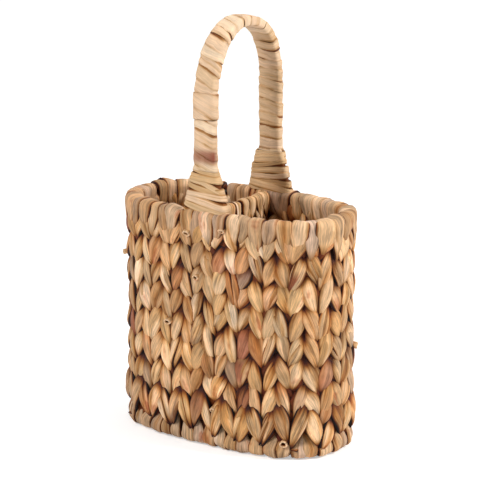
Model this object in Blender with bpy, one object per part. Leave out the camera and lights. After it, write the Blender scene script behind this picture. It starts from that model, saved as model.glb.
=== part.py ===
"""A two-bottle carrying basket: upright plaits of dried leaf on a steel wire frame, with a wrapped arch handle.

Metres, +Z up. The origin is on the ground, in the middle of the base. +X runs along the basket's length,
and the arch handle stands across its width, from the front (-Y) to the back (+Y).
"""

import math

import bmesh
import bpy
import numpy as np
from mathutils import Vector

# Wall: upright plaits side by side round a rounded oval
WALL_HEIGHT = 0.208
WALL_THICKNESS = 0.0130
PLAIT_COUNT = 22
PLAIT_GAP = 0.0004
BASE_ROUNDING = 0.0045
CAP_ANGLES = (math.radians(45), math.radians(80))

# Rim hoop: a wire ring inside the plaits' folded tops. Its line is the outline that the wall follows
HOOP_HALF_LENGTH = 0.1000
HOOP_HALF_WIDTH = 0.0488
OUTLINE_SQUARENESS = 2.8
HOOP_RADIUS = 0.0020
HOOP_DEPTH = 0.0072
OUTLINE_STEPS = 7200
POINTS_PER_PLAIT = 3

# Upright and base wires, and the room that a wire has in the leaf round it
STAKE_RADIUS = 0.0014
WIRE_CLEARANCE = 0.00035
WELD_GAP = 0.0003
NOTCH_DEPTH = 0.0023
NOTCH_HALF_HEIGHT = 0.0025
PLAIT_INNER_SHARE = 0.75
STAKE_BOUNDARIES = (0, 3, 5, 8, 11, 14, 17, 19)
BASE_HOOP_HEIGHT = 0.0060
BASE_WIRE_PLACE_SHARES = (-0.70, -0.36, 0.0, 0.36, 0.70)

# Floor: plaits that lie lengthwise over the base wires
FLOOR_PLAIT_COUNT = 4
FLOOR_THICKNESS = 0.0070
FLOOR_ROUNDING = 0.0020
FLOOR_GAP = 0.0004
FLOOR_END_WIDTH = 0.0050
FLOOR_STATIONS = 14

# Divider: plaits that hang over a rod between the two compartments
DIVIDER_PLAIT_COUNT = 4
DIVIDER_THICKNESS = 0.0080
DIVIDER_ROD_RADIUS = 0.0015
DIVIDER_DROP = 0.0010
DIVIDER_GAP = 0.0004
DIVIDER_WALL_GAP = 0.0005

# Handle: two wires bent into an arch and wound round with one flat strip of leaf
HANDLE_TOP = 0.3690
ARCH_RISE = 0.0640
ARCH_FRONT_SQUARENESS = 2.0
ARCH_BACK_SQUARENESS = 2.3
HANDLE_WIRE_RADIUS = 0.0018
HANDLE_WIRE_OFFSET = 0.0050
FOOT_OFFSET = 0.0170
FOOT_HEIGHT = 0.0460
STRIP_THICKNESS = 0.0017
STRIP_CLEARANCE = 0.0008
STRIP_GAP = 0.0008
STRIP_RIM_GAP = 0.0005
SECTION_SQUARENESS = 4.0
FOOT_LOOPS = 6
FOOT_WINDING_HEIGHT = 0.0380
HANDLE_LOOPS = 22
POINTS_PER_LOOP = 24
JOIN_SHARE = 0.04
ARCH_STEPS = 400

# Worked out from the sizes above
HOOP_HEIGHT = WALL_HEIGHT - WALL_THICKNESS / 2
STAKE_BOTTOM = BASE_HOOP_HEIGHT - HOOP_RADIUS
STAKE_TOP = HOOP_HEIGHT - HOOP_RADIUS - WELD_GAP
BASE_HOOP_INSET = STAKE_RADIUS + WELD_GAP + HOOP_RADIUS
FLOOR_BOTTOM = BASE_HOOP_HEIGHT + STAKE_RADIUS + WELD_GAP
FLOOR_TOP = FLOOR_BOTTOM + FLOOR_THICKNESS
STRIP_HALF_THICKNESS = HANDLE_WIRE_RADIUS + STRIP_CLEARANCE + STRIP_THICKNESS
ARCH_SPRING = HANDLE_TOP - STRIP_HALF_THICKNESS - ARCH_RISE
HANDLE_START = HOOP_HEIGHT + HOOP_RADIUS + WELD_GAP

LEAF_COLOURS = ((0.62, 0.42, 0.22), (0.56, 0.36, 0.18), (0.66, 0.46, 0.26))
FLOOR_COLOUR = (0.50, 0.32, 0.17)
STRIP_COLOUR = (0.76, 0.58, 0.38)
WIRE_COLOUR = (0.32, 0.30, 0.27)
LEAF_ROUGHNESS = 0.75
WIRE_ROUGHNESS = 0.45


def clear_scene():
    for item in list(bpy.data.objects):
        bpy.data.objects.remove(item)


def new_collection(name):
    collection = bpy.data.collections.new(name)
    bpy.context.scene.collection.children.link(collection)
    return collection


def new_material(name, colour, roughness, metallic=0.0):
    material = bpy.data.materials.new(name)
    material.use_nodes = True
    shader = material.node_tree.nodes["Principled BSDF"]
    shader.inputs["Base Color"].default_value = (*colour, 1.0)
    shader.inputs["Roughness"].default_value = roughness
    shader.inputs["Metallic"].default_value = metallic
    return material


def loft(name, rings, material, collection):
    """A closed solid through rings of equally many points, with a flat cap on each end."""
    mesh = bpy.data.meshes.new(name)
    shape = bmesh.new()
    made = [[shape.verts.new(point) for point in ring] for ring in rings]
    for lower, upper in zip(made, made[1:]):
        for i in range(len(lower)):
            j = (i + 1) % len(lower)
            shape.faces.new((lower[i], lower[j], upper[j], upper[i]))
    shape.faces.new(list(reversed(made[0])))
    shape.faces.new(made[-1])
    bmesh.ops.recalc_face_normals(shape, faces=shape.faces)
    shape.to_mesh(mesh)
    shape.free()
    mesh.materials.append(material)
    item = bpy.data.objects.new(name, mesh)
    collection.objects.link(item)
    return item


def wire(name, points, radius, material, collection, closed=False):
    """A round wire through the points."""
    curve = bpy.data.curves.new(name, "CURVE")
    curve.dimensions = "3D"
    curve.bevel_depth = radius
    curve.bevel_resolution = 1
    curve.use_fill_caps = True
    spline = curve.splines.new("POLY")
    spline.points.add(len(points) - 1)
    for place, point in zip(spline.points, points):
        place.co = (*point, 1.0)
    spline.use_cyclic_u = closed
    curve.materials.append(material)
    item = bpy.data.objects.new(name, curve)
    collection.objects.link(item)
    return item


def cutter_from(item, collection):
    """The curve object as a closed mesh that a Boolean can use."""
    bpy.context.view_layer.update()
    evaluated = item.evaluated_get(bpy.context.evaluated_depsgraph_get())
    mesh = bpy.data.meshes.new_from_object(evaluated)
    shape = bmesh.new()
    shape.from_mesh(mesh)
    bmesh.ops.remove_doubles(shape, verts=shape.verts, dist=WELD_GAP / 10)
    bmesh.ops.recalc_face_normals(shape, faces=shape.faces)
    shape.to_mesh(mesh)
    shape.free()
    cutter = bpy.data.objects.new(item.name + "_mesh", mesh)
    cutter.matrix_world = item.matrix_world
    cutter.hide_render = True
    cutter.display_type = "WIRE"
    collection.objects.link(cutter)
    bpy.data.objects.remove(item)
    return cutter


def cut(item, cutter):
    modifier = item.modifiers.new("cut for " + cutter.name, "BOOLEAN")
    modifier.operation = "DIFFERENCE"
    modifier.object = cutter


def power(value, exponent):
    """value to a power, keeping its sign."""
    return np.sign(value) * np.abs(value) ** exponent


class Outline:
    """The rim hoop's line, by the distance along it from the middle of the front, towards +X."""

    def __init__(self):
        turn = np.linspace(-math.pi / 2, 1.5 * math.pi, OUTLINE_STEPS + 1)
        self.x = HOOP_HALF_LENGTH * power(np.cos(turn), 2 / OUTLINE_SQUARENESS)
        self.y = HOOP_HALF_WIDTH * power(np.sin(turn), 2 / OUTLINE_SQUARENESS)
        steps = np.hypot(np.diff(self.x), np.diff(self.y))
        self.along = np.concatenate(([0.0], np.cumsum(steps)))
        self.length = self.along[-1]

    def point(self, distance, outwards):
        """The plan point that lies outwards of the hoop's line by that much."""
        distance = distance % self.length
        x = float(np.interp(distance, self.along, self.x))
        y = float(np.interp(distance, self.along, self.y))
        slope = OUTLINE_SQUARENESS - 1
        normal = Vector(
            (
                float(power(x / HOOP_HALF_LENGTH, slope)) / HOOP_HALF_LENGTH,
                float(power(y / HOOP_HALF_WIDTH, slope)) / HOOP_HALF_WIDTH,
            )
        ).normalized()
        return x + normal.x * outwards, y + normal.y * outwards

    def loop(self, outwards, height, count):
        places = [self.point(i * self.length / count, outwards) for i in range(count)]
        return [Vector((x, y, height)) for x, y in places]

    def half_width(self, x, outwards, count):
        """Half the width at x of the line offset outwards, read between points as many as count."""
        places = [self.point((i + 0.5) * self.length / count, outwards) for i in range(count)]
        back = sorted(place for place in places if place[1] > 0)
        return float(np.interp(x, *zip(*back), left=0.0, right=0.0))

    def inner_half_width(self, x):
        """Half the clear width at x between the plaits' inner faces, which are flat from corner to corner."""
        pitch = self.length / PLAIT_COUNT
        reach = PLAIT_INNER_SHARE * (pitch - PLAIT_GAP) / 2
        corners = []
        for i in range(PLAIT_COUNT):
            for along in (-reach, reach):
                corners.append(self.point((i + 0.5) * pitch + along, HOOP_DEPTH - WALL_THICKNESS))
        back = sorted(corner for corner in corners if corner[1] > 0)
        return float(np.interp(x, *zip(*back), left=0.0, right=0.0))


def plait_section(half_width):
    """Plan section of a wall plait, as (along, depth) from its middle and its outer face."""
    outer_side = HOOP_DEPTH - NOTCH_HALF_HEIGHT
    inner_side = HOOP_DEPTH + NOTCH_HALF_HEIGHT
    bulge_shares = ((1.0, 1.0), (0.80, 0.28), (0.35, 0.0))
    right = [(half_width * along, outer_side * depth) for along, depth in reversed(bulge_shares)]
    right.append((half_width - NOTCH_DEPTH, HOOP_DEPTH))
    right.append((half_width, inner_side))
    right.append((half_width * PLAIT_INNER_SHARE, WALL_THICKNESS))
    return right + [(-along, depth) for along, depth in reversed(right)]


def wall_levels():
    """(height, inset of the outer face, inset of the inner face) from the ground to the top of the fold."""
    radius = WALL_THICKNESS / 2
    levels = [(0.0, BASE_ROUNDING, 0.0), (BASE_ROUNDING, 0.0, 0.0), (WALL_HEIGHT - radius, 0.0, 0.0)]
    top_share = math.sin(CAP_ANGLES[-1])
    for angle in CAP_ANGLES:
        inset = radius * (1 - math.cos(angle))
        height = WALL_HEIGHT - radius + radius * math.sin(angle) / top_share
        levels.append((height, inset, inset))
    return levels


def make_wall(outline, materials, collection):
    """The upright plaits. Each stands on the ground and folds over the rim hoop."""
    pitch = outline.length / PLAIT_COUNT
    section = plait_section((pitch - PLAIT_GAP) / 2)
    plaits = []
    for i in range(PLAIT_COUNT):
        middle = (i + 0.5) * pitch
        rings = []
        for height, outer_inset, inner_inset in wall_levels():
            kept_share = (WALL_THICKNESS - outer_inset - inner_inset) / WALL_THICKNESS
            ring = []
            for along, depth in section:
                outwards = HOOP_DEPTH - outer_inset - depth * kept_share
                ring.append((*outline.point(middle + along, outwards), height))
            rings.append(ring)
        name = f"wall_plait_{i + 1:02d}"
        plaits.append(loft(name, rings, materials[i % len(materials)], collection))
    return plaits


def make_hoops(outline, plaits, material, collection, cutters):
    """The rim and base hoops, each in the channel that the plaits leave for it."""
    count = PLAIT_COUNT * POINTS_PER_PLAIT
    hoops = (("rim_hoop", 0.0, HOOP_HEIGHT), ("base_hoop", -BASE_HOOP_INSET, BASE_HOOP_HEIGHT))
    for name, outwards, height in hoops:
        line = outline.loop(outwards, height, count)
        wire(name, line, HOOP_RADIUS, material, collection, closed=True)
        channel = wire(
            name + "_channel", line, HOOP_RADIUS + WIRE_CLEARANCE, material, cutters, closed=True
        )
        channel = cutter_from(channel, cutters)
        for plait in plaits:
            cut(plait, channel)


def make_stakes(outline, material, collection):
    """Upright wires between neighbouring plaits, from the base hoop to the rim hoop."""
    pitch = outline.length / PLAIT_COUNT
    for number, boundary in enumerate(STAKE_BOUNDARIES, 1):
        x, y = outline.point(boundary * pitch, 0.0)
        ends = [Vector((x, y, STAKE_BOTTOM)), Vector((x, y, STAKE_TOP))]
        wire(f"frame_stake_{number}", ends, STAKE_RADIUS, material, collection)


def make_base_wires(outline, material, collection):
    """Cross wires welded between the two long sides of the base hoop. They carry the floor."""
    inwards = -BASE_HOOP_INSET - HOOP_RADIUS
    count = PLAIT_COUNT * POINTS_PER_PLAIT
    for number, share in enumerate(BASE_WIRE_PLACE_SHARES, 1):
        x = share * HOOP_HALF_LENGTH
        sides = [outline.half_width(x + side * STAKE_RADIUS, inwards, count) for side in (-1, 1)]
        reach = min(sides) - WELD_GAP
        ends = [Vector((x, side * reach, BASE_HOOP_HEIGHT)) for side in (-1, 1)]
        wire(f"base_wire_{number}", ends, STAKE_RADIUS, material, collection)


def rounded_box_ring(x, y_low, y_high, z_low, z_high, rounding):
    """An eight-point ring across X, with its corners cut by the rounding."""
    rounding = min(rounding, (y_high - y_low) / 3)
    return [
        (x, y_low + rounding, z_low),
        (x, y_high - rounding, z_low),
        (x, y_high, z_low + rounding),
        (x, y_high, z_high - rounding),
        (x, y_high - rounding, z_high),
        (x, y_low + rounding, z_high),
        (x, y_low, z_high - rounding),
        (x, y_low, z_low + rounding),
    ]


def floor_reach(outline, y):
    """How far from the middle the floor's edge lies at y."""
    low, high = 0.0, HOOP_HALF_LENGTH - WALL_THICKNESS + HOOP_DEPTH - FLOOR_GAP
    while high - low > FLOOR_GAP / 10:
        middle = (low + high) / 2
        if outline.inner_half_width(middle) - FLOOR_GAP > y:
            low = middle
        else:
            high = middle
    return low - FLOOR_GAP


def make_floor(outline, material, collection):
    """Lengthwise plaits side by side, each trimmed to the wall's inside."""
    pitch = 2 * (outline.inner_half_width(0.0) - FLOOR_GAP) / FLOOR_PLAIT_COUNT
    for i in range(FLOOR_PLAIT_COUNT):
        low = (i - FLOOR_PLAIT_COUNT / 2) * pitch + FLOOR_GAP / 2
        high = low + pitch - FLOOR_GAP
        nearest = min(abs(low), abs(high))
        reach = floor_reach(outline, nearest + FLOOR_END_WIDTH)
        rings = []
        for k in range(FLOOR_STATIONS):
            x = -reach * math.cos(math.pi * k / (FLOOR_STATIONS - 1))
            edge = outline.inner_half_width(x) - FLOOR_GAP
            ring = rounded_box_ring(
                x, max(low, -edge), min(high, edge), FLOOR_BOTTOM, FLOOR_TOP, FLOOR_ROUNDING
            )
            rings.append(ring)
        loft(f"floor_plait_{i + 1}", rings, material, collection)


def make_divider(outline, plaits, materials, collection, cutters):
    """A rod between the two long sides of the rim hoop, with plaits hung over it down to the floor."""
    reach = HOOP_HALF_WIDTH - HOOP_RADIUS - WELD_GAP
    ends = [Vector((0.0, side * reach, HOOP_HEIGHT)) for side in (-1, 1)]
    wire("divider_rod", ends, DIVIDER_ROD_RADIUS, materials["wire"], collection)
    channel_ends = [Vector((0.0, side * (reach + WELD_GAP), HOOP_HEIGHT)) for side in (-1, 1)]
    channel = wire(
        "divider_rod_channel",
        channel_ends,
        DIVIDER_ROD_RADIUS + WIRE_CLEARANCE,
        materials["wire"],
        cutters,
    )
    channel = cutter_from(channel, cutters)
    middle = PLAIT_COUNT // 2
    for plait in (plaits[0], plaits[-1], plaits[middle - 1], plaits[middle]):
        cut(plait, channel)

    span = 2 * (outline.inner_half_width(0.0) - DIVIDER_WALL_GAP)
    pitch = span / DIVIDER_PLAIT_COUNT
    half_width = (pitch - DIVIDER_GAP) / 2
    half_thickness = DIVIDER_THICKNESS / 2
    section_shares = ((-1.0, 0.5), (-0.6, 1.0), (0.6, 1.0), (1.0, 0.5))
    outline = [(across, along) for along, across in section_shares]
    outline += [(-across, -along) for along, across in section_shares]
    top = WALL_HEIGHT - DIVIDER_DROP
    levels = [(FLOOR_TOP + WELD_GAP, 1.0), (top - half_thickness, 1.0)]
    top_share = math.sin(CAP_ANGLES[-1])
    for angle in CAP_ANGLES:
        rise = half_thickness * math.sin(angle) / top_share
        levels.append((top - half_thickness + rise, math.cos(angle)))
    for i in range(DIVIDER_PLAIT_COUNT):
        centre = (i + 0.5) * pitch - span / 2
        rings = [
            [
                (across * half_thickness * thick_share, centre + along * half_width, height)
                for across, along in outline
            ]
            for height, thick_share in levels
        ]
        item = loft(f"divider_plait_{i + 1}", rings, materials["leaf"], collection)
        cut(item, channel)


class HandleLine:
    """The handle's middle line, by the distance along it from the front foot to the back foot."""

    def __init__(self):
        front = np.linspace(0, math.pi / 2, ARCH_STEPS)
        y = [-HOOP_HALF_WIDTH]
        z = [HANDLE_START]
        y += list(-HOOP_HALF_WIDTH * np.cos(front) ** (2 / ARCH_FRONT_SQUARENESS))
        z += list(ARCH_SPRING + ARCH_RISE * np.sin(front) ** (2 / ARCH_FRONT_SQUARENESS))
        back = front[::-1][1:]
        y += list(HOOP_HALF_WIDTH * np.cos(back) ** (2 / ARCH_BACK_SQUARENESS))
        z += list(ARCH_SPRING + ARCH_RISE * np.sin(back) ** (2 / ARCH_BACK_SQUARENESS))
        y.append(HOOP_HALF_WIDTH)
        z.append(HANDLE_START)
        self.y, self.z = np.array(y), np.array(z)
        steps = np.hypot(np.diff(self.y), np.diff(self.z))
        self.along = np.concatenate(([0.0], np.cumsum(steps)))
        self.length = self.along[-1]

    def middle(self, distance):
        y = float(np.interp(distance, self.along, self.y))
        z = float(np.interp(distance, self.along, self.z))
        return Vector((0.0, y, z))

    def outwards(self, distance):
        """The unit direction away from the arch's inside."""
        ahead = self.middle(distance + STRIP_THICKNESS)
        behind = self.middle(distance - STRIP_THICKNESS)
        return Vector((1.0, 0.0, 0.0)).cross((ahead - behind).normalized())

    def wire_offset(self, distance):
        """How far each handle wire lies from the middle: it splays towards both feet."""
        from_foot = min(distance, self.length - distance)
        share = max(0.0, 1 - from_foot / FOOT_HEIGHT)
        return HANDLE_WIRE_OFFSET + (FOOT_OFFSET - HANDLE_WIRE_OFFSET) * share**1.3

    def on_winding(self, distance, angle, extra):
        """A point of the strip's inner face, or of its outer face where extra is the strip's thickness."""
        across = float(power(math.cos(angle), 2 / SECTION_SQUARENESS))
        out = float(power(math.sin(angle), 2 / SECTION_SQUARENESS))
        half = HANDLE_WIRE_RADIUS + STRIP_CLEARANCE + extra
        side = Vector((across * (self.wire_offset(distance) + half), 0.0, 0.0))
        return self.middle(distance) + side + self.outwards(distance) * (out * half)


def make_handle_wires(line, plaits, material, collection, cutters):
    """Two wires side by side, from the rim hoop's front over the arch to its back."""
    leg = ARCH_SPRING - HANDLE_START
    foot_steps, leg_steps, arch_steps = 5, 2, 26
    stops = [FOOT_HEIGHT * k / foot_steps for k in range(foot_steps)]
    stops += [FOOT_HEIGHT + (leg - FOOT_HEIGHT) * k / leg_steps for k in range(leg_steps)]
    stops += [leg + (line.length - 2 * leg) * k / arch_steps for k in range(arch_steps // 2)]
    stops += [line.length / 2] + [line.length - stop for stop in reversed(stops)]
    middle = PLAIT_COUNT // 2
    for name, side in (("handle_wire_left", -1), ("handle_wire_right", 1)):
        path = []
        for stop in stops:
            place = line.middle(stop)
            path.append(Vector((side * line.wire_offset(stop), place.y, place.z)))
        wire(name, path, HANDLE_WIRE_RADIUS, material, collection)
        foot_ends = ((0, 1), (-1, -2))
        neighbours = (plaits[0 if side > 0 else -1], plaits[middle - 1 if side > 0 else middle])
        for plait, (end, after) in zip(neighbours, foot_ends):
            beyond = path[end] + (path[end] - path[after]).normalized() * WELD_GAP
            hole = wire(
                f"{name}_hole_{plait.name}",
                [beyond, path[after]],
                HANDLE_WIRE_RADIUS + WIRE_CLEARANCE,
                material,
                cutters,
            )
            cut(plait, cutter_from(hole, cutters))


class Winding:
    """The strip's turns along the handle: few and wide on the arch, many and narrow at each foot."""

    def __init__(self, line):
        self.line = line
        start = WALL_HEIGHT + STRIP_RIM_GAP - HANDLE_START
        foot_end = start + FOOT_WINDING_HEIGHT
        self.loops = [0, FOOT_LOOPS, FOOT_LOOPS + HANDLE_LOOPS, 2 * FOOT_LOOPS + HANDLE_LOOPS]
        self.places = [start, foot_end, line.length - foot_end, line.length - start]

    def edge(self, loops):
        """Where the turn that begins after so many loops has its lower edge."""
        return float(np.interp(loops, self.loops, self.places))

    def strip(self, first, last):
        """Rings along one unbroken strip, from its first loop to its last."""
        steps = round((last - first) * POINTS_PER_LOOP)
        rings = []
        for k in range(steps + 1):
            loops = first + (last - first) * k / steps
            angle = 2 * math.pi * loops
            low = self.edge(loops) + STRIP_GAP / 2
            high = self.edge(loops + 1) - STRIP_GAP / 2
            corners = ((low, 0.0), (high, 0.0), (high, STRIP_THICKNESS), (low, STRIP_THICKNESS))
            rings.append([self.line.on_winding(place, angle, extra) for place, extra in corners])
        return rings


def least_gap(rings):
    """The least distance between points of the strip that lie half a loop or more apart along it."""
    points = np.array([[tuple(point) for point in ring] for ring in rings])
    apart = POINTS_PER_LOOP // 2
    least = math.inf
    for k in range(len(points) - apart):
        rest = points[k + apart :].reshape(-1, 3)
        for point in points[k]:
            least = min(least, float(np.linalg.norm(rest - point, axis=1).min()))
    return least


def make_windings(line, material, collection):
    winding = Winding(line)
    ends = winding.loops
    strips = (
        ("foot_winding_front", ends[0], ends[1] - JOIN_SHARE),
        ("handle_winding", ends[1], ends[2] - JOIN_SHARE),
        ("foot_winding_back", ends[2], ends[3] - 1),
    )
    for name, first, last in strips:
        rings = winding.strip(first, last)
        strip = loft(name, rings, material, collection)
        strip.data.shade_smooth()
        print(f"{name}: {last - first:.2f} loops, least gap to itself {least_gap(rings):.6f} m")


def main():
    clear_scene()
    parts = new_collection("bottle_basket")
    cutters = new_collection("cutters")
    leaves = [
        new_material(f"leaf_{number}", colour, LEAF_ROUGHNESS)
        for number, colour in enumerate(LEAF_COLOURS, 1)
    ]
    floor_leaf = new_material("floor_leaf", FLOOR_COLOUR, LEAF_ROUGHNESS)
    strip_leaf = new_material("strip_leaf", STRIP_COLOUR, LEAF_ROUGHNESS)
    steel = new_material("frame_wire", WIRE_COLOUR, WIRE_ROUGHNESS, metallic=1.0)

    outline = Outline()
    plaits = make_wall(outline, leaves, parts)
    make_hoops(outline, plaits, steel, parts, cutters)
    make_stakes(outline, steel, parts)
    make_base_wires(outline, steel, parts)
    make_floor(outline, floor_leaf, parts)
    make_divider(outline, plaits, {"wire": steel, "leaf": leaves[0]}, parts, cutters)

    line = HandleLine()
    make_handle_wires(line, plaits, steel, parts, cutters)
    make_windings(line, strip_leaf, parts)


main()
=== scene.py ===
import math

import bmesh
import bpy
import numpy as np
from mathutils import Euler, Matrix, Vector


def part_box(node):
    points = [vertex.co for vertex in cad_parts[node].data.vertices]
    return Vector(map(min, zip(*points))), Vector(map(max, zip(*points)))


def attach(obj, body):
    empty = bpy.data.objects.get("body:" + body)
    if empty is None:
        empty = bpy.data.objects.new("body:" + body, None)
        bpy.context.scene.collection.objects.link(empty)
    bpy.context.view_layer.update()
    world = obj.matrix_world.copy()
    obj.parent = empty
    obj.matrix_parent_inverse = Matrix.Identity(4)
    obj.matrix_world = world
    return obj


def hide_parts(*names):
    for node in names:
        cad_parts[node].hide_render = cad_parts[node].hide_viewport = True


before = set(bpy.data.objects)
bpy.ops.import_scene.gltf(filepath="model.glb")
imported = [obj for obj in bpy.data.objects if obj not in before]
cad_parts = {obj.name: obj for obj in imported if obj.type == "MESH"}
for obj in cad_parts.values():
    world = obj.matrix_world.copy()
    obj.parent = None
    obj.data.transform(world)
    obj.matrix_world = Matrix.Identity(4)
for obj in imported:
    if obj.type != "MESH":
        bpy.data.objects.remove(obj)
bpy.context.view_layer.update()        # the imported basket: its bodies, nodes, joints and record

# Wire frame. Drawn steel wire, bent and spot welded: two hoops, upright wires between plaits, cross wires
# under the floor, a rod over the middle and the handle's two wires. It keeps the basket in shape.
WIRE_NAMES = ("rim_hoop", "base_hoop", "frame_stake", "base_wire", "divider_rod", "handle_wire")
WIRE_GREY = (0.10, 0.09, 0.08, 1.0)
WIRE_RUST = (0.11, 0.06, 0.035, 1.0)
WIRE_ROUGHNESS = 0.36
RUST_ROUGHER = 0.4
RUST_SPOTS_PER_METRE = 260.0
RUST_FROM = 0.52
RUST_FULL = 0.66


class Finish:
    """An output of a shader node. Arithmetic on it adds the maths nodes that work the sum out."""

    def __init__(self, tree, socket=None):
        self.tree = tree
        self.socket = socket

    def node(self, kind, settings=None, inputs=None, output=0):
        """An output of a new node: its settings are made first, then its sockets get values or links."""
        made = self.tree.nodes.new(kind)
        for name, value in (settings or {}).items():
            setattr(made, name, value)
        for name, value in (inputs or {}).items():
            if isinstance(value, Finish):
                value.to(made.inputs[name])
            else:
                made.inputs[name].default_value = value
        return Finish(self.tree, made.outputs[output])

    def to(self, socket):
        self.tree.links.new(self.socket, socket)

    def noise(self, place, scale, detail):
        return self.node("ShaderNodeTexNoise", None, {"Vector": place, "Scale": scale, "Detail": detail})

    def step(self, low, high):
        """0 up to the low value, 1 from the high one and smooth between them."""
        smoothed = {"interpolation_type": "SMOOTHSTEP"}
        return self.node("ShaderNodeMapRange", smoothed, {"Value": self, "From Min": low, "From Max": high})

    def sum(self, operation, first, second):
        return self.node("ShaderNodeMath", {"operation": operation}, {0: first, 1: second})

    def __add__(self, other):
        return self.sum("ADD", self, other)

    def __radd__(self, other):
        return self.sum("ADD", other, self)

    def __sub__(self, other):
        return self.sum("SUBTRACT", self, other)

    def __rsub__(self, other):
        return self.sum("SUBTRACT", other, self)

    def __mul__(self, other):
        return self.sum("MULTIPLY", self, other)

    def __rmul__(self, other):
        return self.sum("MULTIPLY", other, self)


def new_finish(name, roughness, metallic=0.0):
    """A material's Principled shader and a start for its nodes."""
    material = bpy.data.materials.new(name)
    material.use_nodes = True
    shader = material.node_tree.nodes["Principled BSDF"]
    shader.inputs["Roughness"].default_value = roughness
    shader.inputs["Metallic"].default_value = metallic
    return material, shader, Finish(material.node_tree)


wire_steel, shader, start = new_finish("wire_steel", WIRE_ROUGHNESS, metallic=1.0)
place = start.node("ShaderNodeTexCoord", output="Object")
rusty = start.noise(place, RUST_SPOTS_PER_METRE, detail=3.0).step(RUST_FROM, RUST_FULL)
colour = start.node(
    "ShaderNodeMix", {"data_type": "RGBA"}, {0: rusty, 6: WIRE_GREY, 7: WIRE_RUST}, output=2
)
colour.to(shader.inputs["Base Color"])
(WIRE_ROUGHNESS + rusty * RUST_ROUGHER).to(shader.inputs["Roughness"])
for name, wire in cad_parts.items():
    if name.startswith(WIRE_NAMES):
        for material_slot in wire.material_slots:
            material_slot.material = wire_steel

# Floor. Four flat plaits of dried water hyacinth leaf, laid lengthwise over the cross wires, each trimmed
# to the wall. Every plait in the basket is made this way: three bundles of folded leaf, one over another.
# A flat leaf lies under each plait and reaches into the wall, so the floor has no gaps. It is darkened as
# painted shade.
FLOOR_PLAITS = 4
FLOOR_ROW = 0.0230
FLOOR_END_GAP = 0.003
FLOOR_SEED = 400
UNDERLAY_REACH = 0.0060
UNDERLAY_OVERLAP = 0.0010
UNDERLAY_HALF_THICKNESS = 0.0013
UNDERLAY_DROP = 0.0016
UNDERLAY_CREASE_DEPTH = 0.0004
UNDERLAY_LIGHT = 0.42
LEAF_STEP = 0.0014
LEAF_AROUND = 36
LEAF_SQUARENESS = 2.5
LEAF_TWIST = -12.0
LEAF_MEAN_RADIUS = 0.0052
FIBRE_RUN_SHARE = 0.045
FIBRE_PLACES = 9
FIBRES_PER_METRE = 1000
CREASES = 6
CREASE_DEPTH = 0.0009
CREASE_DEPTHS_PER_LEAF = 2.6
CREASE_STRETCH = 0.022
CREASE_WANDER = 0.20
CREASE_STRENGTH = 0.55
CREASE_STRENGTH_DRIFT = 0.6
CREASE_STRENGTH_MOST = 1.3
CREASE_WIDTHS = (0.12, 0.28)
CREASE_SHADE = 0.48
EDGE_LIGHT = 0.06
EDGE_LIT_FROM = 0.88
LAP_SHARE = 0.12
LAYER_SHADE = 0.045
SHADE_HUE = np.array((1.0, 1.66, 2.8))
PLAIT_DRIFT = 0.16
PLAIT_END = 0.008
PLAIT_END_LEFT = 0.001
STRAND_AROUND = 24
STRAND_DRIFT = 0.08
STRAND_SWING = 0.56
STRAND_SWING_DRIFT = 0.04
STRAND_DIVE = 0.54
STRAND_SIZE_DRIFT = 0.05
STRAND_WIDTH = 0.44
STRAND_WIDER_ON_TOP = 0.12
STRAND_WIDTH_LOST = 0.5
STRAND_THICKNESS = 0.46
STRAND_THINNER_ON_TOP = 0.04
STRAND_THICKNESS_LOST = 0.4
STRAND_LEAN = 22
STRAND_LEAN_CROSSING = 14
STRAND_LEAN_DRIFT = 6
STRAND_TONE_PLACE = 0.1
STRAND_TONE_CHANGE = 0.14
STRAND_BRIGHTNESS = (0.90, 1.06)
STRAND_LEAST_LIGHT = 0.22
STRAND_DARK_TO = 0.20
STRAND_LIGHT_REACH = 0.55
LEAF_SPECULAR = 0.24
LEAF_SHEEN = 0.03
LEAF_RELIEF = 0.0012
STAIN_REACH = 0.10
STAIN_STRENGTH = 0.8


def screen(red, green, blue):
    """A colour as a screen shows it, as the linear values that a shader takes."""
    shares = (value / 255 for value in (red, green, blue))
    return tuple(share / 12.92 if share < 0.04 else ((share + 0.055) / 1.055) ** 2.4 for share in shares)


STRAW = screen(240, 200, 156)
GOLD = screen(234, 188, 134)
TAN = screen(221, 174, 128)
KHAKI = screen(190, 150, 106)
ASH = screen(194, 158, 128)
AMBER = screen(208, 144, 92)
RUST = screen(168, 102, 70)
PLUM = screen(98, 60, 52)
LEAF_TONES = (STRAW, GOLD, TAN, KHAKI, ASH, AMBER, RUST, PLUM)
LEAF_SHARES = (0.26, 0.24, 0.30, 0.06, 0.06, 0.06, 0.015, 0.005)


def smooth(share):
    share = np.clip(share, 0.0, 1.0)
    return share * share * (3 - 2 * share)


def lit(least, share):
    """Light that grows smoothly from its least to 1 with the share."""
    return least + (1 - least) * smooth(share)


def drift(rng, along, stretch, size):
    """A smooth wander, about so large, with a new value after each stretch of the strand."""
    place = (along - along[0]) / stretch + rng.uniform()
    low = place.astype(int)
    share = smooth(place - low)
    knots = rng.normal(0.0, size, low[-1] + 2)
    return knots[low] * (1 - share) + knots[low + 1] * share


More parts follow.
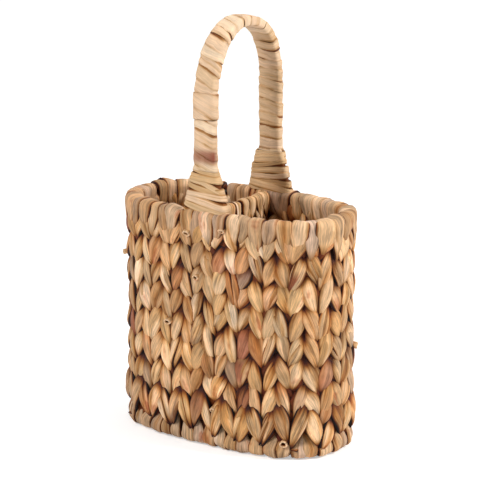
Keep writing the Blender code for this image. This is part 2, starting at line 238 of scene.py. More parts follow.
def leaf_rings(
    rng, path, half_width, half_thickness, lean,
    twist=LEAF_TWIST, depth=CREASE_DEPTH, creases=CREASES, around=LEAF_AROUND,
):
    """Rings of points round folded leaf along the path, their places in its fibres and their painted light.
    """
    ahead = np.gradient(path, axis=0)
    ahead /= np.linalg.norm(ahead, axis=1, keepdims=True)
    side = np.array((1.0, 0.0, 0.0)) - ahead * ahead[:, :1]
    side /= np.linalg.norm(side, axis=1, keepdims=True)
    face = np.cross(ahead, side)
    cos, sin = np.cos(lean)[:, None], np.sin(lean)[:, None]
    side, face = side * cos - face * sin, face * cos + side * sin

    steps = np.linalg.norm(np.diff(path, axis=0), axis=1)
    along = np.concatenate(([0.0], np.cumsum(steps)))
    half_width, half_thickness = half_width[:, None], half_thickness[:, None]
    turn = np.linspace(0, 2 * np.pi, around, endpoint=False)
    cos, sin = np.cos(turn), np.sin(turn)
    folded = np.zeros((len(path), around))
    layers = np.zeros((len(path), around))
    for crease in range(creases):
        place = rng.uniform(0, 2 * np.pi) + twist * along + drift(rng, along, CREASE_STRETCH, CREASE_WANDER)
        strength = drift(rng, along, CREASE_STRETCH, CREASE_STRENGTH_DRIFT) + CREASE_STRENGTH
        strength = np.clip(strength, 0.0, CREASE_STRENGTH_MOST)[:, None]
        away = np.abs((turn - place[:, None] + np.pi) % (2 * np.pi) - np.pi)
        folded += strength * np.exp(-away / rng.uniform(*CREASE_WIDTHS))
        past = (turn - place[:, None]) % (2 * np.pi) < np.pi
        layers += rng.normal(0, 1.0) * np.where(past, 1.0, -1.0)
    # Painted shade: darker in the creases, and lighter or darker on the two sides of each lap.
    light = (1 - CREASE_SHADE * np.clip(folded, 0, 1)) * (1 + LAYER_SHADE * layers)
    sunk = depth * (folded + LAP_SHARE * layers)
    sunk = sunk * np.minimum(1.0, half_thickness / (CREASE_DEPTHS_PER_LEAF * depth))

    across = np.sign(cos) * np.abs(cos) ** (2 / LEAF_SQUARENESS)
    through = np.sign(sin) * np.abs(sin) ** (2 / LEAF_SQUARENESS)
    # Painted shade along the leaf's flat edges.
    light *= lit(EDGE_LIGHT, np.abs(through) / EDGE_LIT_FROM)
    steep = np.hypot(cos / half_width, sin / half_thickness)
    u = half_width * across - cos / half_width / steep * sunk
    w = half_thickness * through - sin / half_thickness / steep * sunk
    rings = path[:, None] + side[:, None] * u[..., None] + face[:, None] * w[..., None]
    turned = turn - twist * along[:, None]
    run = along[:, None] * FIBRE_RUN_SHARE + rng.uniform(0, FIBRE_PLACES) + 0 * turned
    grain = np.stack((LEAF_MEAN_RADIUS * np.cos(turned), LEAF_MEAN_RADIUS * np.sin(turned), run), axis=-1)
    return rings, grain, light


class Leafwork:
    """Leaf shapes gathered into one mesh, whose points know their tone with its painted light, and their
    place in the fibres.
    """

    def __init__(self):
        self.points, self.faces, self.tones, self.grains = [], [], [], []
        self.count = 0

    def add(self, rings, tones, grain, light):
        """A closed shape through the rings. Its tones get redder as their light goes."""
        size, around = rings.shape[:2]
        index = self.count + np.arange(size * around).reshape(size, around)
        beside = np.roll(index, -1, axis=1)
        quads = np.stack((index[:-1], beside[:-1], beside[1:], index[1:]), axis=-1)
        self.faces += quads.reshape(-1, 4).tolist()
        self.faces += [index[0, ::-1].tolist(), index[-1].tolist()]
        self.points.append(rings.reshape(-1, 3))
        self.tones.append((tones * light[..., None] ** SHADE_HUE).reshape(-1, 3))
        self.grains.append(grain.reshape(-1, 3))
        self.count += size * around

    def piece(self, name, material):
        mesh = bpy.data.meshes.new(name)
        mesh.from_pydata(np.concatenate(self.points), [], self.faces)
        shape = bmesh.new()
        shape.from_mesh(mesh)
        bmesh.ops.recalc_face_normals(shape, faces=shape.faces)
        shape.to_mesh(mesh)
        shape.free()
        tones = np.concatenate(self.tones)
        tones = np.concatenate((tones, np.ones((len(tones), 1))), axis=1)
        # The tone attribute holds each point's colour with its painted light and shade multiplied in.
        mesh.attributes.new("tone", "FLOAT_COLOR", "POINT").data.foreach_set("color", tones.ravel())
        grains = np.concatenate(self.grains) * FIBRES_PER_METRE
        mesh.attributes.new("grain", "FLOAT_VECTOR", "POINT").data.foreach_set("vector", grains.ravel())
        mesh.materials.append(material)
        mesh.shade_smooth()
        item = bpy.data.objects.new(name, mesh)
        bpy.context.scene.collection.objects.link(item)
        return item


def pick_tones(rng, tones, shares, count):
    """So many of the tones, each picked by its share."""
    return np.array([tones[pick] for pick in rng.choice(len(tones), count, p=shares)])


def tones_along(tones, places, change):
    """One tone for each whole place, that turns into the next over the last part of it."""
    index = np.maximum(np.floor(places), 0).astype(int)
    share = smooth((places - index - (1 - change)) / change)[:, None]
    return (tones[index] * (1 - share) + tones[index + 1] * share)[:, None]


def plait(
    rng, work, to_world, start, stop, half_width, half_depth, row, middle=0.0, end_sink=0.0, front_light=1.0
):
    """Three strands over and under each other. Each lies on top as it runs from the middle to an edge."""
    along = np.arange(start, stop + LEAF_STEP / 2, LEAF_STEP)
    beat = 2 * np.pi * along / (3 * row) + rng.uniform(0, 2 * np.pi) + drift(rng, along, row, PLAIT_DRIFT)
    ends = smooth((np.minimum(along - start, stop - along) + PLAIT_END_LEFT) / PLAIT_END)
    sink = end_sink * (1 - ends)
    for number in range(3):
        t = beat + number * 2 * np.pi / 3 + drift(rng, along, row / 2, STRAND_DRIFT)
        across = STRAND_SWING * half_width * np.sin(t) * (1 + drift(rng, along, row, STRAND_SWING_DRIFT))
        depth = STRAND_DIVE * half_depth * np.sin(2 * t)
        depth += drift(rng, along, row / 2, STRAND_SIZE_DRIFT * half_depth)
        path = np.stack((across, middle + depth * (1 - sink), along), axis=1)
        on_top = np.sin(2 * t) ** 2
        width = half_width * (STRAND_WIDTH + STRAND_WIDER_ON_TOP * on_top)
        width *= (1 + drift(rng, along, row / 2, STRAND_SIZE_DRIFT)) * (1 - STRAND_WIDTH_LOST * sink)
        thickness = half_depth * (STRAND_THICKNESS - STRAND_THINNER_ON_TOP * on_top)
        thickness *= (1 + drift(rng, along, row / 2, STRAND_SIZE_DRIFT)) * (1 - STRAND_THICKNESS_LOST * sink)
        lean = np.radians(STRAND_LEAN * np.sin(t) - STRAND_LEAN_CROSSING * np.cos(t))
        lean += drift(rng, along, row / 2, math.radians(STRAND_LEAN_DRIFT))
        rings, grain, light = leaf_rings(rng, path, width, thickness, lean, around=STRAND_AROUND)
        places = t / np.pi + STRAND_TONE_PLACE
        first = int(np.floor(places[0]))
        tones = pick_tones(rng, LEAF_TONES, LEAF_SHARES, int(places[-1]) - first + 3)
        tones = tones_along(
            tones * rng.uniform(*STRAND_BRIGHTNESS, (len(tones), 1)), places - first, STRAND_TONE_CHANGE
        )
        # Painted shade: each strand is darker the nearer it lies to the plait's middle, and its front side
        # is scaled by front_light.
        out = (rings[..., 1] - middle) / half_depth
        light *= lit(STRAND_LEAST_LIGHT, (np.abs(out) - STRAND_DARK_TO) / STRAND_LIGHT_REACH)
        work.add(to_world(rings), tones, grain, light * np.where(out > 0, front_light, 1.0))


def flat_leaf(rng, work, to_world, along, out, half_width, half_thickness, depth, share, around=LEAF_AROUND):
    """A flat leaf behind a plait's strands, straight along it, darkened by its share of the light as painted
    shade.
    """
    path = np.stack((0 * along, out + 0 * along, along), axis=1)
    wide, thick = np.full(len(along), half_width), np.full(len(along), half_thickness)
    rings, grain, light = leaf_rings(
        rng, path, wide, thick, 0 * along, twist=0.0, depth=depth, around=around
    )
    work.add(to_world(rings), np.array(TAN), grain, share * light)


def make_leaf_finish(name, roughness, contrast, stain_colour, stain_from):
    """Dried leaf: pale and dark fibres lengthwise, a fibrous surface and a few stained places."""
    material, shader, start = new_finish(name, roughness)
    shader.inputs["Specular IOR Level"].default_value = LEAF_SPECULAR
    shader.inputs["Sheen Weight"].default_value = LEAF_SHEEN
    # The tone attribute: the leaf colour with the painted light and shade in it.
    tone = start.node("ShaderNodeAttribute", {"attribute_name": "tone"}, output="Color")
    grain = start.node("ShaderNodeAttribute", {"attribute_name": "grain"}, output="Vector")
    spot = start.node("ShaderNodeTexCoord", output="Object")
    fibres = start.noise(grain, scale=0.80, detail=4.0)
    hairs = start.noise(grain, scale=3.2, detail=2.0)
    broad = start.noise(grain, scale=0.21, detail=2.0)
    patches = start.noise(spot, scale=60.0, detail=3.0)
    stained = (broad * 0.5 + patches * 0.5).step(stain_from, stain_from + STAIN_REACH)
    uneven = (fibres - 0.5) * 1.3 + (hairs - 0.5) * 0.7 + (broad - 0.5) + (patches - 0.5) * 0.7
    light = 1.0 + uneven * contrast
    streaked = start.node("ShaderNodeVectorMath", {"operation": "SCALE"}, {"Vector": tone, "Scale": light})
    stained_tone = start.node(
        "ShaderNodeMix",
        {"data_type": "RGBA", "blend_type": "MULTIPLY"},
        {0: stained * STAIN_STRENGTH, 6: streaked, 7: stain_colour},
        output=2,
    )
    stained_tone.to(shader.inputs["Base Color"])
    height = fibres * 0.6 + hairs * 0.2 + broad * 0.2
    relief = start.node(
        "ShaderNodeBump", None, {"Height": height, "Strength": 1.0, "Distance": LEAF_RELIEF}
    )
    relief.to(shader.inputs["Normal"])
    return material


leaf = make_leaf_finish(
    "dried_leaf", roughness=0.60, contrast=1.32, stain_colour=(0.50, 0.24, 0.15, 1.0), stain_from=0.57
)

for number in range(1, FLOOR_PLAITS + 1):
    low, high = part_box(f"floor_plait_{number}")
    rng = np.random.default_rng(FLOOR_SEED + number)
    middle_y = (low.y + high.y) / 2
    middle_z = (low.z + high.z) / 2
    half_width = (high.y - low.y) / 2
    half_depth = (high.z - low.z) / 2

    def on_floor(points):
        """Across the plait, up from its middle and along it, as places on the floor."""
        across, up, along = np.moveaxis(points, -1, 0)
        return np.stack((along, middle_y + across, middle_z + up), axis=-1)

    work = Leafwork()
    plait(
        rng, work, on_floor, low.x + FLOOR_END_GAP, high.x - FLOOR_END_GAP, half_width, half_depth, FLOOR_ROW
    )
    along = np.arange(low.x - UNDERLAY_REACH, high.x + UNDERLAY_REACH, 2 * LEAF_STEP)
    flat_leaf(
        rng, work, on_floor, along, -UNDERLAY_DROP, half_width + UNDERLAY_OVERLAP, UNDERLAY_HALF_THICKNESS,
        depth=UNDERLAY_CREASE_DEPTH, share=UNDERLAY_LIGHT,
    )
    floor_piece = work.piece(f"floor_leaf_{number}", leaf)
    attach(floor_piece, "root")
    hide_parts(f"floor_plait_{number}")

# Wall. Twenty-two upright plaits side by side round a rounded oval, each over a thin lining leaf darkened as
# painted shade. At the rim each plait's leaf ends fold over the hoop to the inside, two pale folds over a
# leaf darkened as painted shade, and at the base two more fold under. The strands on each face are pointed
# leaves, and a few cut leaf ends stick out.
WALL_PLAITS = 22
WALL_SEED = 1000
OUTLINE_HALF_LENGTH = 0.1000
OUTLINE_HALF_WIDTH = 0.0488
OUTLINE_SQUARENESS = 2.8
OUTLINE_STEPS = 7200
WALL_ROW = 0.0218
WALL_ROWS = 9
WALL_BLADES_TO = 0.2050
WALL_STRAND_START = 0.0050
WALL_STRAND_STOP = 0.2000
WALL_CORE_WIDTH = 0.56
WALL_CORE_DEPTH = 0.0053
WALL_CORE_MIDDLE = -0.0006
WALL_CORE_END_SINK = 0.55
WALL_CORE_FRONT_LIGHT = 0.20
SWAY_SEED = 3000
PLAIT_SWAY = 0.0007
SWAY_HEIGHTS = np.linspace(0.0, WALL_BLADES_TO, 6)
LINING_OVERLAP = 0.0014
LINING_HALF_THICKNESS = 0.0012
LINING_CREASE_DEPTH = 0.0003
LINING_LIGHT = 0.28
BLADE_RINGS = 26
BLADE_CREASES = 5
BLADE_TIP = 0.0004
BLADE_THICKNESS = 0.0029
BLADE_THICKNESS_TAPER = 0.6
BLADE_LIFT = 0.0046
BLADE_LIFT_SPREAD = 0.0003
BLADE_RISE_SHARE = 0.78
BLADE_RISE_TAPER = 0.8
BLADE_FULL_SHARE = 1.22
BLADE_TOP_FROM = 0.6
BLADE_FOOT_TAPERS = (0.85, 1.15)
BLADE_TOP_TAPERS = (0.60, 0.85)
BLADE_SLANTS = (0.85, 1.15)
BLADE_BOW_SPREAD = 0.0007
BLADE_DRIFT_STRETCH = 0.012
BLADE_DRIFT = 0.05
BLADE_FOOT_LEAN = -18
BLADE_TURN = 42
BLADE_LEAN_SPREAD = 7
BLADE_TWIST_SPREAD = 8.0
BLADE_LEAST_LIGHT = 0.05
BLADE_DARK_TO = 0.46
BLADE_LIGHT_REACH = 0.44
BLADE_EDGE_SHADE = 0.90
BLADE_TONE_STRETCH = 0.014
BLADE_TONE_DRIFT = 0.5
BLADE_BRIGHTNESS = (0.80, 1.12)
BLADE_ROWS = (1.76, 0.10)
BLADE_WIDTH = 0.60
BLADE_WIDTH_SPREAD = 0.12
BLADE_FULL_WIDTH_LENGTH = 0.031
SHORT_BLADE_TAPER = 0.7
BLADE_REACH = (0.93, 0.04)
BLADE_FOOT_OUT = -0.0005
BLADE_FOOT_ASIDE = 0.0005
BLADE_FOOT_SPREAD = 0.0004
LOW_BLADE_OUT = 0.0034
LOW_BLADE_TO = 0.022
LOW_BLADE_REACH = 0.012
FIRST_FOOT = 0.0095
FIRST_FOOT_LATER = 0.006
FOOT_SPREAD = 0.0018
LEAST_FOOT_SPACING = 0.8 * WALL_ROW
MOST_FOOT_SPACING = 1.25 * WALL_ROW
SECOND_LEAF_SHARE = 0.34
SECOND_LEAF_SHIFTS = (-0.35, 0.35)
SECOND_LEAF_OUT = 0.0009
SECOND_LEAF_LATER = (0.001, 0.004)
SECOND_LEAF_WIDTHS = (0.38, 0.55)
SECOND_LEAF_LENGTHS = (0.80, 0.92)
SECOND_LEAF_THICKNESS = 0.0026
SHADED_EDGE_FROM = 0.76
SHADED_EDGE_REACH = 0.22
FOLDS_PER_PLAIT = 2
FOLD_HALF_THICKNESS = 0.0024
FOLD_END_THICKNESS = 0.6
FOLD_EDGE_SHADE = 0.66
FOLD_SWAY = 0.16
FOLD_CREASES = 4
FOLD_CREASE_DEPTH = 0.0006
FOLD_WAVE = 0.012
FOLD_DRIFT = 0.0004
FOLD_SIZE_WAVE = 0.010
FOLD_WIDTH_DRIFT = 0.06
FOLD_THICKNESS_DRIFT = 0.10
FOLD_TAIL_FROM = 0.55
FOLD_END_LIGHT = 0.35
FOLD_END_REACH = 0.22
FOLD_TONES = (STRAW, STRAW, GOLD, TAN, TAN, ASH, ASH, KHAKI)
FOLD_TONE = screen(198, 161, 128)
FOLD_TONE_SHARE = 0.42
RIM_WIDTHS = ((0.0, 0.15, 0.35, 0.58, 0.70, 0.80, 0.88, 1.0), (0.25, 0.8, 0.95, 1.0, 0.94, 0.70, 0.38, 0.06))
RIM_FOLD_LINE = (
    (-0.0012, 0.1830),
    (-0.0034, 0.1910),
    (-0.0044, 0.2010),
    (-0.0042, 0.2060),
    (0.0007, 0.2070),
    (0.0056, 0.2062),
    (0.0062, 0.2010),
    (0.0062, 0.1950),
    (0.0054, 0.1885),
    (0.0026, 0.1820),
)
RIM_FOLD_SPREAD = 0.0012
RIM_FOLD_HALF_WIDTH = 0.0066
RIM_FOLD_WIDER = 0.0028
RIM_FOLD_LIFT = -0.0012
RIM_FOLD_HIGHER = 0.0022
RIM_FOLD_TIP_SPREAD = 0.0026
RIM_FOLD_SLANTS = (-0.002, 0.010)
RIM_FOLD_TAIL_MOST = 0.013
RIM_UNDER_SHARE = 0.62
RIM_UNDER_DROP = 0.0026
RIM_UNDER_WIDTH = 0.64
RIM_UNDER_LIGHT = 0.34
BASE_WIDTHS = ((0.0, 0.2, 0.5, 0.8, 1.0), (0.12, 0.60, 1.0, 1.0, 0.7))
BASE_FOLD_LINE = (
    (-0.0005, 0.0230),
    (0.0020, 0.0175),
    (0.0044, 0.0120),
    (0.0056, 0.0064),
    (0.0040, 0.0030),
    (-0.0044, 0.0029),
)
BASE_FOLD_SPREAD = 0.0010
BASE_FOLD_HALF_WIDTHS = (0.0054, 0.0080)
BASE_FOLD_LIFTS = (-0.0002, 0.0006)
BASE_FOLD_FOOT_SPREAD = 0.0030
BASE_FOLD_TIP_SPREAD = 0.0015
CUT_END_AROUND = 16
CUT_END_FROM = 0.0030
CUT_END_LENGTH = 0.0078
CUT_END_RADIUS = (0.0026, 0.0034)
CUT_END_LEANS = (-0.6, 0.0)
CUT_END_FLATNESS = 0.85
CUT_END_WAVES = (0.10, 0.06)
CUT_END_ROUGHNESS = 0.0002
CUT_END_DEPTHS = np.array((0.0, 0.5, 0.90, 1.0, 0.97, 0.80, 0.45))
CUT_END_RADII = np.array((0.85, 0.95, 1.0, 0.90, 0.64, 0.50, 0.36))
# The light painted along a cut end: darker at its root, brighter at the rim, painted shade deep inside the
# hollow.
CUT_END_LIGHT = np.array((0.30, 0.70, 0.95, 1.15, 0.85, 0.22, 0.05))
# By plait: how far each cut end is from its plait's middle, and how high.
CUT_ENDS = {
    1: ((0.0023, 0.0400), (0.0100, 0.2010)),
    4: ((-0.0041, 0.0165),),
    7: ((0.0030, 0.0900),),
    9: ((-0.0040, 0.1800),),
    12: ((0.0050, 0.1300), (-0.0020, 0.0400)),
    15: ((-0.0030, 0.0750),),
    18: ((0.0040, 0.1560),),
    21: ((-0.0014, 0.1100),),
    22: ((-0.0032, 0.1935), (0.0069, 0.1520)),
}
ACCENT_REACH = 0.45 * WALL_ROW
ACCENT_TURNED_SHARE = 0.6
# By plait: the height, the side and the tone of each strand in a colour of its own.
ACCENTS = {
    1: ((0.160, 1, RUST),),
    2: (
        (0.171, 1, AMBER),
        (0.154, 1, PLUM),
        (0.135, 1, AMBER),
        (0.091, 1, RUST),
        (0.069, -1, PLUM),
        (0.050, 1, RUST),
    ),
    5: ((0.133, 1, RUST), (0.071, 1, RUST)),
}
# By plait near the camera: how high the feet of its left and its right strands are, in millimetres.
FEET = {
    20: ((12, 34, 56, 75, 106, 128, 147, 170), (12, 37, 60, 77, 107, 130, 146, 171)),
    21: ((10, 33, 55, 79, 101, 126, 146, 169), (10, 36, 61, 80, 111, 130, 147, 170)),
    22: ((10, 38, 61, 78, 102, 124, 147, 169), (14, 42, 63, 82, 102, 129, 154, 173)),
    1: ((11, 40, 56, 74, 97, 122, 144, 170), (8, 39, 57, 77, 103, 114, 130, 147, 174)),
    2: ((11, 30, 53, 70, 102, 123, 150, 174), (7, 29, 54, 76, 105, 124, 140, 152, 178)),
    3: ((11, 30, 50, 76, 98, 124, 150, 169), (8, 28, 54, 77, 98, 126, 146, 168)),
    4: ((12, 31, 59, 82, 99, 124, 144, 169), (8, 32, 59, 78, 98, 121, 143, 169)),
    5: ((10, 32, 55, 76, 99, 124, 150, 173), (5, 24, 34, 56, 77, 98, 122, 144, 178)),
}
rim_under_line = [
    (RIM_UNDER_SHARE * outwards, height - RIM_UNDER_DROP) for outwards, height in RIM_FOLD_LINE[2:-2]
]
# The leaf under the rim folds: TAN darkened as painted shade.
rim_under_painted_shade_tone = RIM_UNDER_LIGHT**SHADE_HUE * np.array(TAN)


def signed_power(value, exponent):
    return np.sign(value) * np.abs(value) ** exponent


turn = np.linspace(-np.pi / 2, 1.5 * np.pi, OUTLINE_STEPS + 1)
outline_x = OUTLINE_HALF_LENGTH * signed_power(np.cos(turn), 2 / OUTLINE_SQUARENESS)
outline_y = OUTLINE_HALF_WIDTH * signed_power(np.sin(turn), 2 / OUTLINE_SQUARENESS)
outline_along = np.concatenate(([0.0], np.cumsum(np.hypot(np.diff(outline_x), np.diff(outline_y)))))
outline_length = outline_along[-1]
wall_pitch = outline_length / WALL_PLAITS


def on_wall(points):
    """Along the rim hoop from the middle of the front, outwards of it and up, as places round the basket."""
    along, outwards, height = np.moveaxis(points, -1, 0)
    x = np.interp(along % outline_length, outline_along, outline_x)
    y = np.interp(along % outline_length, outline_along, outline_y)
    normal_x = signed_power(x / OUTLINE_HALF_LENGTH, OUTLINE_SQUARENESS - 1) / OUTLINE_HALF_LENGTH
    normal_y = signed_power(y / OUTLINE_HALF_WIDTH, OUTLINE_SQUARENESS - 1) / OUTLINE_HALF_WIDTH
    size = np.hypot(normal_x, normal_y)
    return np.stack((x + normal_x / size * outwards, y + normal_y / size * outwards, height), axis=-1)


def rounded_line(points, step):
    """The corners of a line cut off again and again, then even steps along what is left."""
    line = np.array(points)
    for cut in range(3):
        cuts = np.stack((0.75 * line[:-1] + 0.25 * line[1:], 0.25 * line[:-1] + 0.75 * line[1:]), axis=1)
        line = np.concatenate((line[:1], cuts.reshape(-1, line.shape[1]), line[-1:]))
    along = np.concatenate(([0.0], np.cumsum(np.linalg.norm(np.diff(line, axis=0), axis=1))))
    stops = np.linspace(0, along[-1], int(along[-1] / step) + 1)
    return np.stack([np.interp(stops, along, column) for column in line.T], axis=1)


def shade_edges(light, shade):
    """The light round a strand, less along both its edges."""
    edge = np.abs(np.cos(np.linspace(0, 2 * np.pi, light.shape[1], endpoint=False)))
    return light * (1 - shade * smooth((edge - SHADED_EDGE_FROM) / SHADED_EDGE_REACH))


def blade(rng, work, to_world, foot, side, length, half_width, thickness, reach, tones):
    """The strand's part that shows: pointed at its foot in the plait's middle and at its top by the edge."""
    share = (1 - np.cos(np.linspace(0, np.pi, BLADE_RINGS))) / 2
    along = length * share
    swell = np.sin(np.pi * share)
    bow = rng.normal(0, BLADE_BOW_SPREAD)
    across = side * (reach * share ** rng.uniform(*BLADE_SLANTS) + bow * swell) + foot[0]
    rise = np.sin(np.pi * share**BLADE_RISE_SHARE) ** BLADE_RISE_TAPER
    outwards = foot[1] + BLADE_LIFT * rise + rng.normal(0, BLADE_LIFT_SPREAD) * swell
    path = np.stack((across, outwards, foot[2] + along), axis=1)
    foot_taper, top_taper = rng.uniform(*BLADE_FOOT_TAPERS), rng.uniform(*BLADE_TOP_TAPERS)
    tapers = np.where(share < BLADE_TOP_FROM, foot_taper, top_taper)
    width = BLADE_TIP + half_width * np.sin(np.pi * share**BLADE_FULL_SHARE) ** tapers
    width *= 1 + drift(rng, along, BLADE_DRIFT_STRETCH, BLADE_DRIFT)
    thickness = BLADE_TIP + thickness * swell**BLADE_THICKNESS_TAPER
    lean = side * np.radians(BLADE_FOOT_LEAN + BLADE_TURN * share)
    lean += rng.normal(0, math.radians(BLADE_LEAN_SPREAD))
    twist = rng.normal(0, BLADE_TWIST_SPREAD)
    rings, grain, light = leaf_rings(
        rng, path, width, thickness, lean, twist=twist, creases=BLADE_CREASES
    )
    # Painted shade: the blade is darker where it lies low, near its foot and its tip, and along its edges.
    face = (rings[..., 1] - foot[1]) / (BLADE_LIFT + thickness.max())
    light *= lit(BLADE_LEAST_LIGHT, (face - BLADE_DARK_TO) / BLADE_LIGHT_REACH)
    turned = 0.5 + drift(rng, along, BLADE_TONE_STRETCH, BLADE_TONE_DRIFT)
    turned = np.clip(turned, 0, 1)[:, None, None]
    tones = tones[0] * (1 - turned) + tones[1] * turned
    work.add(to_world(rings), tones, grain, shade_edges(light, BLADE_EDGE_SHADE))


def fold(
    rng, work, to_world, middle, line, half_width, width_shares, tone,
    lift=0.0, tip=(0.0, 0.0), tail=0.0, sway=FOLD_SWAY,
):
    """A leaf end bent over an edge of the basket, wide at the bend and narrow where it tucks in."""
    profile = rounded_line(line, LEAF_STEP)
    share = np.linspace(0, 1, len(profile))
    along = share * len(share) * LEAF_STEP
    outwards = profile[:, 0] + np.sign(profile[:, 0]) * lift * np.sin(np.pi * share) ** 2
    side = middle + np.interp(share, (0.0, 0.5, 1.0), (tip[0], 0.0, tip[1]))
    side += drift(rng, along, FOLD_WAVE, FOLD_DRIFT)
    height = profile[:, 1] - tail * smooth((share - FOLD_TAIL_FROM) / (1 - FOLD_TAIL_FROM))
    path = np.stack((side, outwards, height), axis=1)
    width = half_width * np.interp(share, *width_shares)
    width *= 1 + drift(rng, along, FOLD_SIZE_WAVE, FOLD_WIDTH_DRIFT)
    thickness = FOLD_END_THICKNESS + (1 - FOLD_END_THICKNESS) * np.sin(np.pi * share)
    thickness *= FOLD_HALF_THICKNESS * (1 + drift(rng, along, FOLD_SIZE_WAVE, FOLD_THICKNESS_DRIFT))
    lean = drift(rng, along, FOLD_WAVE, sway)
    rings, grain, light = leaf_rings(
        rng, path, width, thickness, lean, twist=0.0, depth=FOLD_CREASE_DEPTH, creases=FOLD_CREASES
    )
    # Painted shade: the fold is darker towards both ends, where it tucks in, and along its edges.
    light *= lit(FOLD_END_LIGHT, np.minimum(share, 1 - share) / FOLD_END_REACH)[:, None]
    work.add(to_world(rings), np.array(tone), grain, shade_edges(light, FOLD_EDGE_SHADE))


def fold_place(rng, half, spread):
    """How far a fold is from its plait's middle, and its tone."""
    side = (half - 0.5) * wall_pitch / FOLDS_PER_PLAIT + rng.normal(0, spread)
    tone = np.array(FOLD_TONES[rng.choice(len(FOLD_TONES))])
    return side, tone + FOLD_TONE_SHARE * (np.array(FOLD_TONE) - tone)


def cut_end(rng, work, to_world, middle, height, radius, length, lean):
    """A leaf end cut off short, hollow with painted shade inside, that points outwards and leans up or down.
    """
    turn = np.linspace(0, 2 * np.pi, CUT_END_AROUND, endpoint=False)
    wavy = 1 + CUT_END_WAVES[0] * np.sin(2 * turn + rng.uniform(0, 6))
    wavy += CUT_END_WAVES[1] * np.sin(3 * turn + rng.uniform(0, 6))
    out = (CUT_END_FROM + length * CUT_END_DEPTHS)[:, None]
    out = out + rng.normal(0, CUT_END_ROUGHNESS, (len(CUT_END_DEPTHS), CUT_END_AROUND))
    wide = radius * CUT_END_RADII[:, None] * wavy
    across, up = wide * np.cos(turn), CUT_END_FLATNESS * wide * np.sin(turn)
    outwards = out * math.cos(lean) - up * math.sin(lean)
    upwards = out * math.sin(lean) + up * math.cos(lean)
    rings = np.stack((middle + across, outwards, height + upwards), axis=-1)
    grain = np.stack((across, up, out * FIBRE_RUN_SHARE), axis=-1)
    work.add(to_world(rings), np.array(STRAW), grain, CUT_END_LIGHT[:, None] + 0 * wide)


